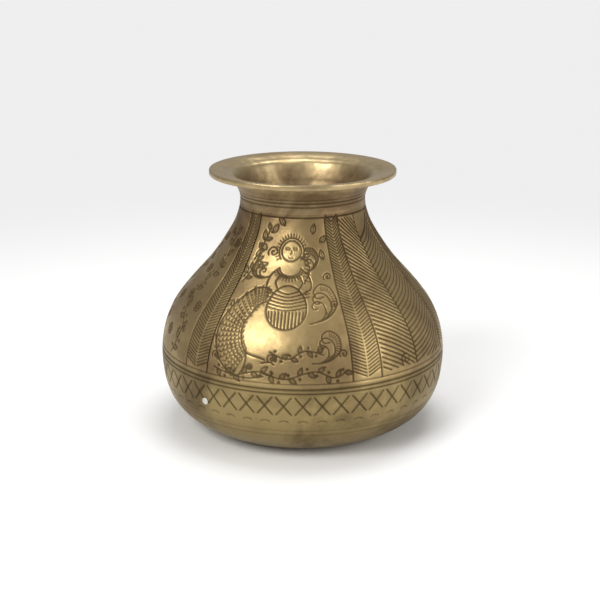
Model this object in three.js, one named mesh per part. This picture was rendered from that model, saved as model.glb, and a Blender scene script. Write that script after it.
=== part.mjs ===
// A brass kalash: a water pot with a flat foot, a full belly, a narrow throat and a wide flared mouth.
// It is three shells of sheet brass, lapped into each other and brazed. Millimetres, +Z up,
// with the origin at the centre of the foot. The front of the pot faces -Y.
import * as THREE from "three";

// Driving dimensions
const FOOT_RADIUS = 46;
const BELLY_RADIUS = 80;
const BELLY_HEIGHT = 44;
const THROAT_RADIUS = 34.6;
const THROAT_HEIGHT = 129.6;
const MOUTH_RADIUS = 51.4;
const POT_HEIGHT = 144.6;
const SHEET = 1.6;
const LIP_THICKNESS = 3;

// The two brazed lap joints
const WAIST_HEIGHT = 46;
const NECK_JOINT_HEIGHT = 125.6;
const LAP_HEIGHT = 6;
const LAP_SHEET = 1.3;
const BRAZE_FILM = 0.3;

// The dab of solder that stops a pinhole in the bowl
const SOLDER_RADIUS = 2;
const SOLDER_RISE = 0.8;
const SOLDER_HEIGHT = 31;
const SOLDER_TURN = THREE.MathUtils.degToRad(40.5);
const SOLDER_FILM = 0.15;

const SIDES = 48;
const LOWER_STEPS = 11;
const SHOULDER_STEPS = 11;
const NECK_STEPS = 6;
const LAP_STEPS = 2;

const point = (radius, height) => new THREE.Vector2(radius, height);

// How far up its stretch, and how far out, each station of the outline lies.
// The bowl's stations run from the foot to the belly, and the shoulder's from the belly to the throat.
const BOWL_STATIONS = [
  [0, 0],
  [0.176, 0.02],
  [0.368, 0.068],
  [0.524, 0.132],
  [0.676, 0.218],
  [0.791, 0.314],
  [0.9, 0.466],
  [0.974, 0.673],
  [1, 1],
];
const SHOULDER_STATIONS = [
  [0.945, 0.159],
  [0.826, 0.299],
  [0.619, 0.439],
  [0.383, 0.579],
  [0.194, 0.72],
  [0.0485, 0.86],
  [0, 1],
];

function bowlStation([out, up]) {
  return point(FOOT_RADIUS + out * (BELLY_RADIUS - FOOT_RADIUS), up * BELLY_HEIGHT);
}

function shoulderStation([out, up]) {
  return point(
    THROAT_RADIUS + out * (BELLY_RADIUS - THROAT_RADIUS),
    BELLY_HEIGHT + up * (THROAT_HEIGHT - BELLY_HEIGHT),
  );
}

// Above the throat the neck turns out into the mouth's flange.
const NECK_RISE = 10.4;
const NECK_SPREAD = 4.4;
const neckTop = point(THROAT_RADIUS + NECK_SPREAD, THROAT_HEIGHT + NECK_RISE);

const outline = new THREE.SplineCurve([
  ...BOWL_STATIONS.map(bowlStation),
  ...SHOULDER_STATIONS.map(shoulderStation),
  neckTop,
]);

// The place on the outline at a height, found by halving.
function shareAtHeight(height) {
  let low = 0;
  let high = 1;
  for (let i = 0; i < 40; i++) {
    const middle = (low + high) / 2;
    if (outline.getPoint(middle).y < height) low = middle;
    else high = middle;
  }
  return (low + high) / 2;
}

// A point of the outline, moved into the wall by a depth.
function wallPoint(share, depth) {
  const place = outline.getPoint(share);
  const along = outline.getTangent(share);
  return point(place.x - along.y * depth, place.y + along.x * depth);
}

// The line at a depth inside the wall, between two heights of the outline.
function wallLine(fromHeight, toHeight, depth, steps) {
  const from = shareAtHeight(fromHeight);
  const to = shareAtHeight(toHeight);
  return Array.from({ length: steps + 1 }, (_, i) =>
    wallPoint(from + ((to - from) * i) / steps, depth),
  );
}

function turned(profile) {
  return new THREE.LatheGeometry(profile, SIDES);
}

// A band of the wall between two depths, as a closed ring.
function wallRing(fromHeight, toHeight, outerDepth, innerDepth, steps) {
  const outer = wallLine(fromHeight, toHeight, outerDepth, steps);
  const inner = wallLine(fromHeight, toHeight, innerDepth, steps);
  return [...outer, ...inner.reverse(), outer[0].clone()];
}

const LAP_DEPTH = SHEET + BRAZE_FILM;

// The bowl: foot, curved side, and a rim stepped inwards to pass up inside the shoulder.
function bowlProfile() {
  const outer = wallLine(0, WAIST_HEIGHT, 0, LOWER_STEPS);
  outer[0] = point(FOOT_RADIUS, 0);
  const lapOuter = wallLine(WAIST_HEIGHT, WAIST_HEIGHT + LAP_HEIGHT, LAP_DEPTH, LAP_STEPS);
  const lapInner = wallLine(
    WAIST_HEIGHT + LAP_HEIGHT,
    WAIST_HEIGHT - LAP_SHEET,
    LAP_DEPTH + LAP_SHEET,
    LAP_STEPS,
  );
  const inner = wallLine(WAIST_HEIGHT - LAP_SHEET - LAP_DEPTH, SHEET, SHEET, LOWER_STEPS);
  inner[inner.length - 1] = point(FOOT_RADIUS, SHEET);
  return [point(0, 0), ...outer, ...lapOuter, ...lapInner, ...inner, point(0, SHEET)];
}

// The shoulder: a plain shell from the waist joint to the neck joint. Its stations at the two laps
// are those of the brazing films, so that the faces which meet are the same faces.
function shoulderProfile() {
  const lapTop = WAIST_HEIGHT + LAP_HEIGHT;
  const lapFoot = NECK_JOINT_HEIGHT - LAP_HEIGHT;
  const wall = (depth) => [
    ...wallLine(WAIST_HEIGHT, lapTop, depth, LAP_STEPS),
    ...wallLine(lapTop, lapFoot, depth, SHOULDER_STEPS).slice(1, -1),
    ...wallLine(lapFoot, NECK_JOINT_HEIGHT, depth, LAP_STEPS),
  ];
  const outer = wall(0);
  return [...outer, ...wall(SHEET).reverse(), outer[0].clone()];
}

// The flange of the mouth, as a fall below the lip's top and a share of its reach beyond the neck.
const FLANGE_TOP = [
  [0.92, 0],
  [0.5, 0.8],
  [0.22, 2],
  [-0.1, 3.6],
];
const FLANGE_UNDERSIDE = [
  [0.2, 3.7],
  [0.5, 3.25],
  [0.85, 3.05],
];

function flangePoint([reach, fall]) {
  return point(
    neckTop.x + reach * (MOUTH_RADIUS - neckTop.x),
    POT_HEIGHT - (fall * LIP_THICKNESS) / 3,
  );
}

// The neck: a spigot that drops inside the shoulder, the throat, and the flange with its thick lip.
function neckProfile() {
  const spigotOuter = wallLine(
    NECK_JOINT_HEIGHT - LAP_HEIGHT,
    NECK_JOINT_HEIGHT,
    LAP_DEPTH,
    LAP_STEPS,
  );
  const outer = wallLine(NECK_JOINT_HEIGHT, neckTop.y, 0, NECK_STEPS);
  const lip = [
    point(MOUTH_RADIUS, POT_HEIGHT - LIP_THICKNESS),
    point(MOUTH_RADIUS, POT_HEIGHT - LIP_THICKNESS / 6),
    point(MOUTH_RADIUS - LIP_THICKNESS / 6, POT_HEIGHT),
  ];
  const inner = wallLine(
    THROAT_HEIGHT + NECK_RISE / 2,
    NECK_JOINT_HEIGHT + LAP_SHEET + LAP_DEPTH,
    SHEET,
    NECK_STEPS / 2,
  );
  const spigotInner = wallLine(
    NECK_JOINT_HEIGHT + LAP_SHEET,
    NECK_JOINT_HEIGHT - LAP_HEIGHT,
    LAP_DEPTH + LAP_SHEET,
    LAP_STEPS,
  );
  return [
    ...spigotOuter,
    ...outer,
    ...FLANGE_UNDERSIDE.map(flangePoint),
    ...lip,
    ...FLANGE_TOP.map(flangePoint),
    ...inner,
    ...spigotInner,
    spigotOuter[0].clone(),
  ];
}

// The film of brazing alloy that fills a lap, between the outer shell and the one inside it.
function brazeProfile(fromHeight) {
  return wallRing(fromHeight, fromHeight + LAP_HEIGHT, SHEET, LAP_DEPTH, LAP_STEPS);
}

// The dab of solder: a low dome, turned round to lie on the bowl.
function solderDab() {
  const dome = [point(0, 0), point(SOLDER_RADIUS, 0)];
  const steps = 5;
  for (let i = 1; i <= steps; i++) {
    const angle = (i / steps) * (Math.PI / 2);
    dome.push(point(SOLDER_RADIUS * Math.cos(angle), SOLDER_RISE * Math.sin(angle)));
  }
  dome[dome.length - 1].x = 0;
  const share = shareAtHeight(SOLDER_HEIGHT);
  const seat = wallPoint(share, -SOLDER_FILM);
  const along = outline.getTangent(share);
  const geometry = new THREE.LatheGeometry(dome, 20);
  const across = new THREE.Vector3(along.y, -along.x, 0).normalize();
  geometry.applyQuaternion(
    new THREE.Quaternion().setFromUnitVectors(new THREE.Vector3(0, 1, 0), across),
  );
  geometry.translate(seat.x, seat.y, 0);
  return geometry;
}

const brass = (colour, roughness) =>
  new THREE.MeshStandardMaterial({ color: colour, roughness, metalness: 1 });

const pot = new THREE.Group();

// A lathe turns about +Y, so each piece is stood up to bring that axis to +Z.
function addPiece(name, geometry, material, turn = 0) {
  geometry.rotateX(Math.PI / 2);
  geometry.rotateZ(turn);
  const mesh = new THREE.Mesh(geometry, material);
  mesh.name = name;
  pot.add(mesh);
  return mesh;
}

addPiece("base_bowl", turned(bowlProfile()), brass(0x8f6a35, 0.4));
addPiece("body_shoulder", turned(shoulderProfile()), brass(0xa88149, 0.35));
addPiece("neck_collar", turned(neckProfile()), brass(0xb08d55, 0.3));
addPiece("waist_braze", turned(brazeProfile(WAIST_HEIGHT)), brass(0xc9a35a, 0.5));
addPiece(
  "neck_braze",
  turned(brazeProfile(NECK_JOINT_HEIGHT - LAP_HEIGHT)),
  brass(0xc9a35a, 0.5),
);
addPiece("solder_dab", solderDab(), brass(0xb9bcb4, 0.55), -Math.PI / 2 - SOLDER_TURN);

export default pot;
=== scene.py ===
# %% [markdown]
# # An engraved brass kalash
# The pot is three shells of sheet brass, brazed together, and chased all over the shoulder with a
# figure, feather bands, fronds and flowering sprays. The solid model gives the outline. Here each
# shell is turned again as a fine skin, and the ornament is cut into it as real grooves.

# %% Load the frame
import math
import bpy
import numpy as np
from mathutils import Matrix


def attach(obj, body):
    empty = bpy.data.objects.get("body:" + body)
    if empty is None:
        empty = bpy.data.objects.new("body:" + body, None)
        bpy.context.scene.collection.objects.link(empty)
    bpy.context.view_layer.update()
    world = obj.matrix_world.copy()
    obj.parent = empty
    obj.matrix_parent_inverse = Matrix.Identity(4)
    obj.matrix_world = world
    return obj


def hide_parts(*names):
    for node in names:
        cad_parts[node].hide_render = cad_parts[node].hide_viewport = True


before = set(bpy.data.objects)
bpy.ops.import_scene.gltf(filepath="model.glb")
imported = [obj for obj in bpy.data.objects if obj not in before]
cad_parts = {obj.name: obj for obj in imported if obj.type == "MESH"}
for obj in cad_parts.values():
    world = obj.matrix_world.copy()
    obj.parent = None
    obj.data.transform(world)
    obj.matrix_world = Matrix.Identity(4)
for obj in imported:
    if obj.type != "MESH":
        bpy.data.objects.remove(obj)
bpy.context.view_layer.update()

# %% [markdown]
# ## The outline
# A coppersmith raises each shell over a stake and trues it on a lathe, so one outline gives the whole
# pot. It could be drawn as a Bezier curve, but a spline through the same stations as the solid
# model's keeps the skins exactly on it.

# %% Outline of the pot
FOOT, BELLY, BELLY_AT = 46.0, 80.0, 44.0
THROAT, THROAT_AT = 34.6, 129.6
MOUTH, TOP, LIP = 51.4, 144.6, 3.0
SHEET, FILM, LAP_SHEET, LAP = 1.6, 0.3, 1.3, 6.0
WAIST, NECK_JOINT = 46.0, 125.6
MM = 0.001

BOWL_STATIONS = [(0, 0), (0.176, 0.02), (0.368, 0.068), (0.524, 0.132), (0.676, 0.218),
                 (0.791, 0.314), (0.9, 0.466), (0.974, 0.673), (1, 1)]
SHOULDER_STATIONS = [(0.945, 0.159), (0.826, 0.299), (0.619, 0.439), (0.383, 0.579),
                     (0.194, 0.72), (0.0485, 0.86), (0, 1)]
NECK_TOP = (THROAT + 4.4, THROAT_AT + 10.4)

stations = [(FOOT + out * (BELLY - FOOT), up * BELLY_AT) for out, up in BOWL_STATIONS]
stations += [(THROAT + out * (BELLY - THROAT), BELLY_AT + up * (THROAT_AT - BELLY_AT))
             for out, up in SHOULDER_STATIONS]
stations = np.array(stations + [NECK_TOP])


def smooth(points, steps=8):
    """A Catmull-Rom curve through the points."""
    p = np.asarray(points, float)
    p = np.vstack([p[:1], p, p[-1:]])
    t = np.linspace(0, 1, steps, endpoint=False)[:, None]
    out = []
    for a, b, c, d in zip(p[:-3], p[1:-2], p[2:-1], p[3:]):
        out.append(0.5 * (2 * b + (c - a) * t + (2 * a - 5 * b + 4 * c - d) * t ** 2
                          + (3 * b - a - 3 * c + d) * t ** 3))
    return np.vstack(out + [p[-1:]])


line = smooth(stations, 60)
run = np.concatenate([[0], np.cumsum(np.hypot(*np.diff(line, axis=0).T))])
slope = np.gradient(line, run, axis=0)


def rise(z):
    """Distance up the wall from the foot to a height."""
    return np.interp(z, line[:, 1], run)


def radius(v):
    """Radius of the wall at a distance up it."""
    return np.interp(v, run, line[:, 0])


def wall(low, high, depth, step):
    """Points of the wall between two heights, at a depth inside it."""
    a, b = rise(low), rise(high)
    v = np.linspace(a, b, max(2, int(abs(b - a) / step) + 1))
    r, z = np.interp(v, run, line[:, 0]), np.interp(v, run, line[:, 1])
    dr, dz = np.interp(v, run, slope[:, 0]), np.interp(v, run, slope[:, 1])
    return [tuple(q) for q in np.stack([r - dz * depth, z + dr * depth], 1)]


print("the wall runs", round(float(run[-1])), "mm from foot to neck")

# %% [markdown]
# ## The chaser's layout
# The ornament is cut with a small V chisel, stroke by stroke. A painted bump map would look flat at
# the edge of the pot, so each stroke is laid out on the wall unrolled, and the skins are then pressed
# in by that depth. Across is measured at the belly in mm, and up is measured along the wall.

# %% The unrolled wall and the chisel
COLUMNS, ROW = 1800, 0.3
sheet = np.zeros((int(run[-1] / ROW) + 2, COLUMNS))
AROUND = 2 * math.pi * BELLY
strokes = 0


def chisel(points, width=0.75, depth=1.0):
    """Cut one stroke through points given as (across, up the wall)."""
    global strokes
    strokes += 1
    p = np.asarray(points, float)
    for (x0, v0), (x1, v1) in zip(p[:-1], p[1:]):
        share = max(float(radius((v0 + v1) / 2)) / BELLY, 0.2)
        pad = width / 2 + 0.5
        rows = np.arange(int((min(v0, v1) - pad) / ROW), int((max(v0, v1) + pad) / ROW) + 2)
        rows = rows[(rows >= 0) & (rows < len(sheet))]
        wide = pad / share
        cols = np.arange(int(math.floor((min(x0, x1) - wide) / AROUND * COLUMNS)),
                         int(math.ceil((max(x0, x1) + wide) / AROUND * COLUMNS)) + 1)
        gx, gv = np.meshgrid((cols * AROUND / COLUMNS - x0) * share, rows * ROW - v0)
        dx, dv = (x1 - x0) * share, v1 - v0
        t = np.clip((gx * dx + gv * dv) / max(dx * dx + dv * dv, 1e-9), 0, 1)
        away = np.hypot(gx - t * dx, gv - t * dv)
        groove = depth * np.clip((width / 2 + 0.25 - away) / (width / 2), 0, 1)
        spot = np.ix_(rows, cols % COLUMNS)
        sheet[spot] = np.maximum(sheet[spot], groove)


def across(degrees):
    return math.radians(degrees) * BELLY


def put(x, z, shape, turn=0.0, size=1.0):
    """Lay a shape drawn in mm round its own centre onto the wall."""
    s = np.asarray(shape, float) * size
    c, d = math.cos(math.radians(turn)), math.sin(math.radians(turn))
    v = float(rise(z))
    share = float(radius(v)) / BELLY
    return np.stack([x + (s[:, 0] * c - s[:, 1] * d) / share, v + s[:, 0] * d + s[:, 1] * c], 1)


def ring(rx, rz=None, start=0, end=360, n=28):
    a = np.radians(np.linspace(start, end, n))
    return np.stack([rx * np.cos(a), (rz or rx) * np.sin(a)], 1)


def spiral(size, turns=1.6, n=44):
    a = np.linspace(0, turns * 2 * math.pi, n)
    return np.stack([np.cos(a), np.sin(a)], 1) * (size * a / a[-1])[:, None]


def leaf(x, z, turn, size=1.0):
    for side in (-1, 1):
        chisel(put(x, z, smooth([(0, 0), (2, 1.5 * side), (4.4, 1.2 * side), (6.5, 0)], 5), turn, size), 0.6)
    chisel(put(x, z, [(0.6, 0), (4.6, 0)], turn, size), 0.45, 0.7)


def flower(x, z, size=1.0, petals=7):
    chisel(put(x, z, ring(1.3), 0, size), 0.6)
    for k in range(petals):
        chisel(put(x, z, smooth([(1.4, -0.5), (3.4, -1.3), (4.3, 0), (3.4, 1.3), (1.4, 0.5)], 5),
                   360 * k / petals, size), 0.6)


def plume(x, z, turn, size=1.0, mirror=1):
    """A nested curling feather with hatching round its back."""
    for k, part in enumerate((1.0, 0.78, 0.56)):
        curl = np.array([(0, 0), (7, 3), (11, 9), (9, 15), (4, 16.5), (1, 13.5), (2.6, 10.5), (5.4, 11.4)])
        chisel(put(x, z, smooth(curl * [mirror, 1] * part, 6), turn, size), 0.7 - 0.08 * k)
    for a in np.linspace(-70, 100, 15):
        c, s = math.cos(math.radians(a)), math.sin(math.radians(a))
        barb = [(mirror * (5.2 + 5.4 * c), 9.4 + 6.2 * s), (mirror * (5.2 + 3.9 * c), 9.4 + 4.6 * s)]
        chisel(put(x, z, barb, turn, size), 0.5, 0.8)


def vine(points, every=5.0, size=0.8):
    """A wandering stem with leaves on both sides and berries between them."""
    path = smooth([(x, float(rise(z))) for x, z in points], 12)
    chisel(path, 0.65)
    steps = np.concatenate([[0], np.cumsum(np.hypot(*np.diff(path, axis=0).T))])
    for k, s in enumerate(np.arange(every / 2, steps[-1], every)):
        x, v = np.interp(s, steps, path[:, 0]), np.interp(s, steps, path[:, 1])
        x2, v2 = np.interp(s + 1, steps, path[:, 0]), np.interp(s + 1, steps, path[:, 1])
        way = math.degrees(math.atan2(v2 - v, x2 - x + 1e-6))
        z = float(np.interp(v, run, line[:, 1]))
        side = 1 if k % 2 else -1
        leaf(x, z, way + 48 * side, size)
        chisel(put(x, z, ring(0.75, n=10) + [0, -2.6 * side], way, size), 0.5)


def level(z, width=0.8, depth=1.0, start=-180, end=180):
    chisel([(across(a), float(rise(z))) for a in np.linspace(start, end, 61)], width, depth)


# %% [markdown]
# ## Bands, fronds and turned lines
# The upright bands are feathered with two columns of slanted strokes, and the fronds are long curved
# strokes between ribs. They are the same few strokes repeated at a regular pitch, so loops set them.

# %% Bands and fronds
PANEL_LOW, PANEL_HIGH = 47.5, 124.0
DOUBLE_LINE = (44.6, 42.4)
CROSSES, CROSS_LOW, CROSS_HIGH, CROSS_HALF = 50, 30.5, 40.2, 4


def band(start, end):
    mid = (start + end) / 2
    for edge in (start, end):
        chisel([(across(edge), float(rise(z))) for z in np.linspace(PANEL_LOW, PANEL_HIGH, 30)], 0.85)
    for side, edge in ((-1, start), (1, end)):
        for v in np.arange(float(rise(PANEL_LOW)) + 2, float(rise(PANEL_HIGH)) - 2, 1.75):
            inner, outer = mid + side * 0.55, edge - side * 0.7
            chisel([(across(inner), v), (across(outer), v + 3.2)], 0.7)


def frond(start, end):
    rib = start + (end - start) * 0.43
    low, high = float(rise(PANEL_LOW + 2)), float(rise(PANEL_HIGH - 1))
    chisel([(across(rib), low), (across(rib), high)], 0.8)
    for edge in (end - 1.6, end - 0.2):
        chisel([(across(edge), low - 2), (across(edge), high)], 0.7)
    for v in np.arange(low + 3, high + 12, 2.6):
        top = min(v, high)
        sweep = smooth([(across(start + 0.8), v), (across(start + 0.5 * (rib - start)), v - 6),
                        (across(rib - 0.5), v - 14)], 6)
        chisel(sweep[(sweep[:, 1] > low) & (sweep[:, 1] < high)], 0.75)
        climb = smooth([(across(rib + 0.5), top - 13), (across(rib + 0.5 * (end - rib)), top - 8),
                        (across(end - 2.2), top - 1)], 6)
        chisel(climb[(climb[:, 1] > low) & (climb[:, 1] < high)], 0.75)
    chisel(put(across(rib - 6), PANEL_LOW + 6, spiral(3.6)), 0.7)


for start in (19, -51.5, 75, 145, 201):
    band(start, start + 12.2)
for start in (31.4, 157.4):
    frond(start, start + 43.4)

level(PANEL_HIGH, 0.9)
level(PANEL_HIGH + 5.4, 0.6, 0.8)
level(PANEL_HIGH + 7.4, 0.6, 0.8)
level(PANEL_HIGH + 9.2, 0.5, 0.6)
level(PANEL_LOW, 0.7, 0.8)
for z in DOUBLE_LINE:
    level(z, 0.95)
level(20.5, 0.7, 0.5)
level(17.5, 0.7, 0.5)

for k in range(CROSSES):
    x, low, high = AROUND * k / CROSSES, float(rise(CROSS_LOW)), float(rise(CROSS_HIGH))
    chisel([(x - CROSS_HALF, low), (x + CROSS_HALF, high)], 0.95)
    chisel([(x - CROSS_HALF, high), (x + CROSS_HALF, low)], 0.95)
    chisel(put(x, 25.5, ring(2.4, 1.4, 20, 160, 8)), 0.7, 0.7)
print("bands, fronds and borders:", strokes, "strokes")

# %% [markdown]
# ## The figure panel
# A folk figure beats a drum beside a curling fish, under branches and before a pair of great plumes.
# It is drawn here from plain strokes, with a quiet face of its own.

# %% The figure
hx = across(-8)
chisel(put(hx, 108, ring(5.2, 5.6)), 0.75)
chisel(put(hx, 108, ring(6.6, 7.0, -40, 220)), 0.65)
for a in np.linspace(-35, 215, 22):
    c, s = math.cos(math.radians(a)), math.sin(math.radians(a))
    chisel(put(hx, 108, [(7.2 * c, 7.6 * s), (8.6 * c, 9.0 * s)]), 0.5, 0.8)
for side in (-1, 1):
    chisel(put(hx, 109, ring(1.1, 0.5, 0, 360, 12) + [2.0 * side, 0]), 0.45, 0.8)
chisel(put(hx, 107.3, [(0, 1.2), (0.4, -0.6), (-0.3, -0.8)]), 0.4, 0.7)
chisel(put(hx, 105, ring(1.2, 0.5, 200, 340, 8)), 0.4, 0.8)
chisel(put(hx, 108, spiral(3.2) + [-9.6, -1]), 0.65)
chisel(put(hx, 103, smooth([(5, 3), (9, 0), (9.5, -6), (7, -12)], 6)), 0.7)
for k in range(6):
    chisel(put(hx, 103, [(7.6 - 0.1 * k, 0.5 - 2.1 * k), (10.4 - 0.2 * k, -0.6 - 2.1 * k)]), 0.5)
for size in (1.0, 1.22):
    chisel(put(hx, 100, ring(5.6, 4.4, 190, 350) * size), 0.7)
for a in np.linspace(205, 335, 13):
    c, s = math.cos(math.radians(a)), math.sin(math.radians(a))
    chisel(put(hx, 100, [(7.4 * c, 5.9 * s), (8.7 * c, 7.2 * s)]), 0.5, 0.8)
for side in (-1, 1):
    chisel(put(hx, 96, smooth([(6 * side, 5), (10 * side, 1), (11 * side, -6), (6 * side, -10)], 6)), 0.75)
    chisel(put(hx, 96, smooth([(4.8 * side, 1), (6.8 * side, -3), (5 * side, -7)], 6)), 0.65)
    for k in range(3):
        chisel(put(hx, 90 - 1.4 * k, [(9.2 * side, 0), (11.6 * side, 0.6)]), 0.5)

dx, dz = across(-8), 83
chisel(put(dx, dz, ring(10.5, 12.5, n=48)), 0.85)
for k in range(6):
    y = 9.5 - 1.9 * k
    half = 10.2 * math.sqrt(max(0.05, 1 - (y / 12.5) ** 2))
    chisel(put(dx, dz, smooth([(-half, y), (0, y - 1.8), (half, y)], 6)), 0.65)
for k in range(-5, 6):
    low = -12.2 * math.sqrt(max(0.05, 1 - (1.8 * k / 10.5) ** 2))
    chisel(put(dx, dz, [(1.8 * k, -2.6), (1.65 * k, low)]), 0.65)

FISH_SPINE = [(-17, 88), (-25, 86), (-32, 76), (-31, 64), (-25, 56), (-15, 55)]
body = smooth([(across(a), float(rise(z))) for a, z in FISH_SPINE], 12)
way = np.gradient(body, axis=0)
way /= np.hypot(way[:, 0], way[:, 1])[:, None]
off = np.stack([-way[:, 1], way[:, 0]], 1)
plump = 8.2 * np.sin(np.linspace(0.35, math.pi - 0.55, len(body)))[:, None]
for side in (-1, 1):
    chisel(body + off * plump * side, 0.85)
for k in range(3, len(body) - 12, 2):
    for j in np.linspace(-0.8, 0.8, 6) + (0.18 if k % 4 == 1 else -0.18):
        c = body[k] + off[k] * plump[k] * j
        arc = ring(1.3, 1.5, -90, 90, 7)
        chisel(c + arc[:, :1] * way[k] + arc[:, 1:] * off[k], 0.5, 0.85)
head = body[-8]
chisel(head + ring(1.4, n=14), 0.6)
chisel(head + ring(0.5, n=8), 0.5)
chisel(body[-12] + off[-12] * np.linspace(-1, 1, 7)[:, None] * plump[-12]
       + way[-12] * (1 - np.linspace(-1, 1, 7)[:, None] ** 2) * 2, 0.7)
for side in (-1, 1):
    chisel(smooth([body[-3] + off[-3] * side * 2.4, body[-1] + way[-1] * 3 + off[-1] * side * 3.4,
                   body[-1] + way[-1] * 5.4 + off[-1] * side * 2.2], 6), 0.7)

plume(across(3), 76, -6, 1.4)
plume(across(3.5), 58, -18, 1.15)
plume(across(2), 98, 10, 0.8)
plume(across(-20), 96, 40, 0.72, -1)
for x, z, turn in ((-34, 104, 60), (-31, 112, 100), (-25, 116, 60), (-36, 96, 130), (-30, 100, 20),
                   (-27, 108, 150), (8, 116, 80), (13, 112, 40), (14, 104, 100), (-15, 120, 130)):
    leaf(across(x), z, turn, 0.85)
vine([(across(-37), 92), (across(-33), 100), (across(-31), 110), (across(-27), 119)], 6, 0.6)
vine([(across(-36), 52), (across(-27), 49.8), (across(-17), 53), (across(-7), 50), (across(4), 54),
      (across(12), 50.5), (across(17), 54)], 5.2, 0.72)
vine([(across(-13), 63), (across(-6), 60), (across(1), 64), (across(8), 62)], 5, 0.62)
for x, z in ((-36, 58), (16, 62), (16, 84), (15, 96), (-12, 60), (-37, 82)):
    chisel(put(across(x), z, spiral(2.4)), 0.6)
print("with the figure:", strokes, "strokes")

# %% [markdown]
# ## Flowering panels
# The other panels stay more open, with an upright vine, rosettes and sprays on bare brass.

# %% Flowers
for start, end in ((-146, -53), (88, 144)):
    n = 4 if end - start > 70 else 3
    for k in range(n):
        a = start + (end - start) * (k + 0.5) / n
        vine([(across(a), 50), (across(a + 4), 64), (across(a - 4), 80), (across(a + 3), 96),
              (across(a), 116)], 6.5, 0.85)
        for z, turn in ((60, -1), (76, 1), (92, -1), (108, 1)):
            flower(across(a + 6.5 * turn * (0.75 + z / 200)), z, 0.95 - z / 300)
            chisel(put(across(a - 6 * turn), z + 4, spiral(2.3)), 0.6)
print("whole layout:", strokes, "strokes")

# %% [markdown]
# ## Turning the skins
# Each shell's section is drawn as one flat face or closed line and spun round the axis, as the lathe
# does. The shoulder is spun in four quarters so that each keeps fine enough faces for the chisel. The
# first seam lies on the figure panel's left border, and the other three cross open ornament.

# %% Spin and press
GROOVE_DEPTH = 0.28
ON_WALL, CUT_LOW, CUT_HIGH = 0.25, 8, 139.5


def spun(name, section, start, sweep, steps):
    """Spin a closed section round the pot's axis, and press the ornament into it."""
    bpy.ops.object.select_all(action="DESELECT")
    a = math.radians(start - 90)
    mesh = bpy.data.meshes.new(name)
    points = [(r * MM * math.cos(a), r * MM * math.sin(a), z * MM) for r, z in section]
    whole = sweep >= 360
    edges = [(i, (i + 1) % len(points)) for i in range(len(points))]
    if whole and section[0][0] == 0:
        edges = edges[:-1]
    mesh.from_pydata(points, edges if whole else [], [] if whole else [list(range(len(points)))])
    piece = bpy.data.objects.new(name, mesh)
    bpy.context.scene.collection.objects.link(piece)
    bpy.context.view_layer.objects.active = piece
    piece.select_set(True)
    bpy.ops.object.mode_set(mode="EDIT")
    bpy.ops.mesh.select_all(action="SELECT")
    bpy.ops.mesh.spin(steps=steps, angle=math.radians(sweep), center=(0, 0, 0), axis=(0, 0, 1))
    bpy.ops.mesh.select_all(action="SELECT")
    bpy.ops.mesh.remove_doubles(threshold=0.000005)
    bpy.ops.mesh.select_all(action="SELECT")
    bpy.ops.mesh.normals_make_consistent(inside=False)
    bpy.ops.object.mode_set(mode="OBJECT")
    press(piece)
    bpy.ops.object.shade_smooth_by_angle(angle=math.radians(50))
    bpy.context.view_layer.objects.active = piece
    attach(piece, "root")
    print(name, len(piece.data.polygons), "faces")
    return piece


def press(piece):
    """Read the layout at each point of the outside, keep it as an attribute, and sink the grooves."""
    mesh = piece.data
    co = np.empty(len(mesh.vertices) * 3)
    mesh.vertices.foreach_get("co", co)
    x, y, z = co.reshape(-1, 3).T / MM
    r = np.hypot(x, y)
    v = rise(z)
    outside = (np.abs(r - radius(v)) < ON_WALL) & (z > CUT_LOW) & (z < CUT_HIGH)
    col = (np.degrees(np.arctan2(x, -y)) / 360 * COLUMNS) % COLUMNS
    row = np.clip(v / ROW, 0, len(sheet) - 1.001)
    c0, r0 = np.floor(col).astype(int), np.floor(row).astype(int)
    fc, fr = col - c0, row - r0
    c0 %= COLUMNS
    c1 = (c0 + 1) % COLUMNS
    cut = (sheet[r0, c0] * (1 - fc) * (1 - fr) + sheet[r0, c1] * fc * (1 - fr)
           + sheet[r0 + 1, c0] * (1 - fc) * fr + sheet[r0 + 1, c1] * fc * fr) * outside
    mesh.attributes.new("cut", "FLOAT", "POINT").data.foreach_set("value", cut)
    group = piece.vertex_groups.new(name="cut")
    for share in range(1, 11):
        some = np.nonzero(np.round(cut * 10).astype(int) == share)[0].tolist()
        if some:
            group.add(some, share / 10, "REPLACE")
    push = piece.modifiers.new("groove", "DISPLACE")
    push.vertex_group = "cut"
    push.mid_level = 0
    push.strength = -GROOVE_DEPTH * MM
    bpy.ops.object.modifier_apply(modifier="groove")


LAP_IN = SHEET + FILM
bowl = [(0, 0), (15, 0), (30, 0), (FOOT, 0)] + wall(0, 15, 0, 2.0)[1:] + wall(15, WAIST, 0, 0.6)[1:]
bowl += wall(WAIST, WAIST + LAP, LAP_IN, 2) + wall(WAIST + LAP, WAIST - LAP_SHEET, LAP_IN + LAP_SHEET, 2)
bowl += wall(WAIST - LAP_SHEET - LAP_IN, 1.6, SHEET, 3)[:-1] + [(FOOT, SHEET), (20, SHEET), (0, SHEET)]
bowl_skin = spun("bowl_skin", bowl, 0, 360, 760)

shoulder = wall(WAIST, NECK_JOINT, 0, 0.5) + wall(NECK_JOINT, WAIST, SHEET, 4)
quarters = [spun("shoulder_quarter_%d" % (k + 1), shoulder, -39.3 + 90 * k, 90, 280) for k in range(4)]

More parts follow.
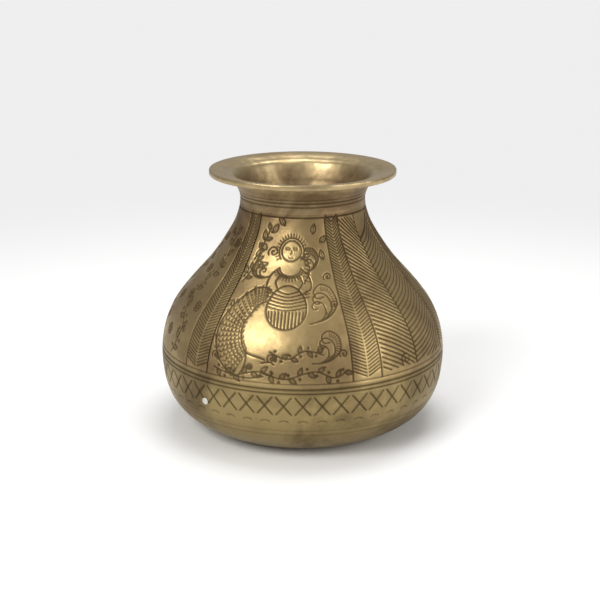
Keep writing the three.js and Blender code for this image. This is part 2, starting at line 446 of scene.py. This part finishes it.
reach = MOUTH - NECK_TOP[0]
under = [(0.2, 3.7), (0.5, 3.25), (0.85, 3.05)]
over = [(0.92, 0), (0.5, 0.8), (0.22, 2), (-0.1, 3.6)]
inside = [(NECK_TOP[0] + out * reach, TOP - fall) for out, fall in over]
inside += wall(THROAT_AT + 5.2, NECK_JOINT + LAP_SHEET + LAP_IN, SHEET, 2)
lip = [(MOUTH - 0.25, TOP - LIP), (MOUTH, TOP - LIP + 0.3), (MOUTH, TOP - 0.6), (MOUTH - 0.2, TOP - 0.18)]
neck = wall(NECK_JOINT - LAP, NECK_JOINT, LAP_IN, 2) + wall(NECK_JOINT, NECK_TOP[1], 0, 0.5)
neck += smooth([NECK_TOP] + [(NECK_TOP[0] + out * reach, TOP - fall) for out, fall in under], 4).tolist()[1:]
neck += lip + smooth(inside[:5], 4).tolist() + inside[5:]
neck += wall(NECK_JOINT + LAP_SHEET, NECK_JOINT - LAP, LAP_IN + LAP_SHEET, 2)
neck_skin = spun("neck_skin", neck, 0, 360, 480)

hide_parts("base_bowl")
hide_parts("neck_collar")
for quarter in quarters:
    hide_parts("body_shoulder")

# %% [markdown]
# ## Old brass
# Handled brass is bright where hands and cloths reach, brown in the grooves, and stained in patches
# between, and a band just under the rim is darkened toward the tarnish colour as painted shade. One node
# group makes those layers from the piece's own place and from the depth of the cut, and the three brasses
# share it with other colours.

# %% The patina group
def make_patina():
    group = bpy.data.node_groups.new("Brass patina", "ShaderNodeTree")
    face = group.interface
    for name, kind, value in (("Clean", "NodeSocketColor", (0.62, 0.42, 0.16, 1)),
                              # The tarnish colour is also the colour of the painted shade under the rim.
                              ("Tarnish", "NodeSocketColor", (0.26, 0.14, 0.06, 1)),
                              ("Groove", "NodeSocketColor", (0.055, 0.036, 0.017, 1)),
                              ("Stain", "NodeSocketFloat", 0.45),
                              ("Gloss", "NodeSocketFloat", 0.3)):
        face.new_socket(name, in_out="INPUT", socket_type=kind).default_value = value
    for name, kind in (("Base Color", "NodeSocketColor"), ("Roughness", "NodeSocketFloat"),
                       ("Bump Height", "NodeSocketFloat")):
        face.new_socket(name, in_out="OUTPUT", socket_type=kind)
    n, l = group.nodes, group.links
    give, take = n.new("NodeGroupInput"), n.new("NodeGroupOutput")
    where, cut = n.new("ShaderNodeTexCoord"), n.new("ShaderNodeAttribute")
    cut.attribute_name = "cut"

    def noise(scale, detail, rough=0.6, distort=0.0):
        node = n.new("ShaderNodeTexNoise")
        node.inputs["Scale"].default_value = scale
        node.inputs["Detail"].default_value = detail
        node.inputs["Roughness"].default_value = rough
        node.inputs["Distortion"].default_value = distort
        l.new(where.outputs["Object"], node.inputs["Vector"])
        return node

    def spread(source, low, high, to_low=0.0, to_high=1.0):
        node = n.new("ShaderNodeMapRange")
        for socket, value in zip(("From Min", "From Max", "To Min", "To Max"), (low, high, to_low, to_high)):
            node.inputs[socket].default_value = value
        l.new(source, node.inputs["Value"])
        return node.outputs["Result"]

    def sums(kind, a, b):
        node = n.new("ShaderNodeMath")
        node.operation = kind
        for socket, value in zip(node.inputs, (a, b)):
            if isinstance(value, (int, float)):
                socket.default_value = value
            else:
                l.new(value, socket)
        return node.outputs[0]

    def mix(share, a, b):
        node = n.new("ShaderNodeMix")
        node.data_type = "RGBA"
        l.new(share, node.inputs[0])
        l.new(a, node.inputs[6])
        l.new(b, node.inputs[7])
        return node.outputs[2]

    patches, clouds, specks = noise(26, 7, 0.62, 0.6), noise(90, 6), noise(900, 4)
    stain_and_rim_shade = sums("MULTIPLY", spread(patches.outputs[0], 0.42, 0.68), give.outputs["Stain"])
    stain_and_rim_shade = sums("ADD", stain_and_rim_shade, spread(clouds.outputs[0], 0.5, 0.8, 0, 0.3))
    height = n.new("ShaderNodeSeparateXYZ")
    l.new(where.outputs["Object"], height.inputs["Vector"])
    # Painted shade: a darker band on the neck and shoulder just below the rim, from about 105 to 140 mm up.
    painted_rim_shade = sums("MULTIPLY", spread(height.outputs["Z"], 0.105, 0.128, 0, 0.5),
                     spread(height.outputs["Z"], 0.136, 0.1405, 1, 0))
    # The painted rim shade joins the stain share here, so it darkens the colour and raises the roughness
    # along with the stains.
    stain_and_rim_shade = sums("ADD", stain_and_rim_shade, painted_rim_shade)
    colour = mix(stain_and_rim_shade, give.outputs["Clean"], give.outputs["Tarnish"])
    groove = spread(cut.outputs["Fac"], 0.12, 0.9, 0, 0.8)
    colour = mix(groove, colour, give.outputs["Groove"])
    l.new(colour, take.inputs["Base Color"])
    dull = sums("ADD", give.outputs["Gloss"], sums("MULTIPLY", stain_and_rim_shade, 0.22))
    dull = sums("ADD", dull, sums("MULTIPLY", groove, 0.3))
    l.new(sums("ADD", dull, spread(specks.outputs[0], 0.4, 0.7, 0, 0.08)), take.inputs["Roughness"])
    lumps = sums("ADD", sums("MULTIPLY", noise(55, 2).outputs[0], 1.0),
                 sums("MULTIPLY", specks.outputs[0], 0.05))
    l.new(lumps, take.inputs["Bump Height"])
    return group


patina = make_patina()


def brass(name, clean, tarnish_and_shade, stain, gloss, bump=0.0006):
    material = bpy.data.materials.new(name)
    material.use_nodes = True
    n, l = material.node_tree.nodes, material.node_tree.links
    shader = n["Principled BSDF"]
    shader.inputs["Metallic"].default_value = 1
    old = n.new("ShaderNodeGroup")
    old.node_tree = patina
    old.inputs["Clean"].default_value = (*clean, 1)
    old.inputs["Tarnish"].default_value = (*tarnish_and_shade, 1)
    old.inputs["Stain"].default_value = stain
    old.inputs["Gloss"].default_value = gloss
    dent = n.new("ShaderNodeBump")
    dent.inputs["Distance"].default_value = bump
    l.new(old.outputs["Base Color"], shader.inputs["Base Color"])
    l.new(old.outputs["Roughness"], shader.inputs["Roughness"])
    l.new(old.outputs["Bump Height"], dent.inputs["Height"])
    l.new(dent.outputs["Normal"], shader.inputs["Normal"])
    return material


# %% [markdown]
# ## Giving each piece its metal
# The bowl looks the dullest on the real pot, and the neck and lip look the brightest. Here the bowl gets
# darker brass colours as painted shade and the neck and lip lighter ones as painted light, while the bowl
# also has the most stain and the neck the least.

# %% Materials on pieces
# Lit and shaded copies of one brass: the bowl's darker colours are painted shade and the neck's lighter
# colours are painted light.
aged_and_shaded = brass("Aged and shaded brass", (0.30, 0.225, 0.10), (0.11, 0.075, 0.036), 0.8, 0.38)
chased = brass("Engraved brass", (0.39, 0.285, 0.13), (0.15, 0.095, 0.048), 0.75, 0.36)
bright = brass("Polished and lit brass", (0.48, 0.37, 0.195), (0.18, 0.12, 0.062), 0.65, 0.3, 0.0014)
filler = brass("Braze", (0.72, 0.52, 0.22), (0.4, 0.26, 0.1), 0.3, 0.45)
solder = brass("Solder", (0.66, 0.66, 0.60), (0.42, 0.40, 0.34), 0.4, 0.5)


def dress(piece, material):
    piece.data.materials.clear()
    piece.data.materials.append(material)


dress(bowl_skin, aged_and_shaded)
dress(neck_skin, bright)
for quarter in quarters:
    dress(quarter, chased)
for node, material in (("waist_braze", filler), ("neck_braze", filler), ("solder_dab", solder),
                       ("base_bowl", aged_and_shaded), ("body_shoulder", chased), ("neck_collar", bright)):
    piece = bpy.data.objects[node]
    piece.data.materials.clear()
    piece.data.materials.append(material)
print("materials:", [m.name for m in bpy.data.materials])

# %% [markdown]
# ## Table, light and camera
# Metal shows what is round it, so large soft lamps stand at the left, right and above, with a darker
# room between them that keeps the edges of the pot readable.

# %% Floor, lamps and camera
bpy.ops.object.select_all(action="DESELECT")
bpy.ops.mesh.primitive_plane_add(size=8, location=(0, 0, 0))
floor = bpy.context.object
floor.name = "floor"
paper = bpy.data.materials.new("Pale table")
paper.use_nodes = True
paper.node_tree.nodes["Principled BSDF"].inputs["Base Color"].default_value = (0.82, 0.82, 0.81, 1)
paper.node_tree.nodes["Principled BSDF"].inputs["Roughness"].default_value = 0.8
pn, pl = paper.node_tree.nodes, paper.node_tree.links
spot, size, fade = pn.new("ShaderNodeTexCoord"), pn.new("ShaderNodeVectorMath"), pn.new("ShaderNodeMapRange")
size.operation = "LENGTH"
fade.interpolation_type = "SMOOTHSTEP"
for socket, value in (("From Min", 0.2), ("From Max", 0.7), ("To Min", 0.0), ("To Max", 1.0)):
    fade.inputs[socket].default_value = value
pl.new(spot.outputs["Object"], size.inputs[0])
pl.new(size.outputs["Value"], fade.inputs["Value"])
ray, far, both = pn.new("ShaderNodeLightPath"), pn.new("ShaderNodeEmission"), pn.new("ShaderNodeMixShader")
far.inputs["Color"].default_value = (0.86, 0.86, 0.86, 1)
here = pn.new("ShaderNodeMath")
here.operation = "MULTIPLY"
pl.new(fade.outputs["Result"], here.inputs[0])
pl.new(ray.outputs["Is Camera Ray"], here.inputs[1])
pl.new(here.outputs[0], both.inputs[0])
pl.new(pn["Principled BSDF"].outputs[0], both.inputs[1])
pl.new(far.outputs[0], both.inputs[2])
pl.new(both.outputs[0], pn["Material Output"].inputs["Surface"])
floor.data.materials.append(paper)


def lamp(name, place, size, watts, colour=(1, 1, 1)):
    data = bpy.data.lights.new(name, "AREA")
    data.shape, data.size, data.energy, data.color = "SQUARE", size, watts, colour
    obj = bpy.data.objects.new(name, data)
    bpy.context.scene.collection.objects.link(obj)
    obj.location = place
    aim = np.array([0, 0, 0.07]) - np.array(place)
    flat = math.hypot(aim[0], aim[1])
    obj.rotation_euler = (math.pi / 2 + math.atan2(aim[2], flat), 0, math.atan2(-aim[0], aim[1]))


lamp("key", (-0.75, -0.85, 0.95), 0.7, 14)
lamp("fill", (1.0, -0.6, 0.5), 0.8, 6.5)
lamp("over", (0.1, 0.25, 1.2), 0.8, 9)

world = bpy.data.worlds.new("studio")
bpy.context.scene.world = world
world.use_nodes = True
wn, wl = world.node_tree.nodes, world.node_tree.links
room = wn["Background"]
room.inputs["Color"].default_value = (0.42, 0.42, 0.43, 1)
page = wn.new("ShaderNodeBackground")
page.inputs["Color"].default_value = (0.86, 0.86, 0.86, 1)
seen, blend = wn.new("ShaderNodeLightPath"), wn.new("ShaderNodeMixShader")
wl.new(seen.outputs["Is Camera Ray"], blend.inputs[0])
wl.new(room.outputs[0], blend.inputs[1])
wl.new(page.outputs[0], blend.inputs[2])
wl.new(blend.outputs[0], wn["World Output"].inputs["Surface"])

eye = bpy.data.cameras.new("camera")
eye.lens, eye.sensor_width = 71.5, 36
camera = bpy.data.objects.new("camera", eye)
bpy.context.scene.collection.objects.link(camera)
camera.location = (-0.0015, -0.6472, 0.2668)
camera.rotation_euler = (math.radians(90 - 17.05), 0, 0)
bpy.context.scene.camera = camera
bpy.context.scene.view_settings.view_transform = "Standard"
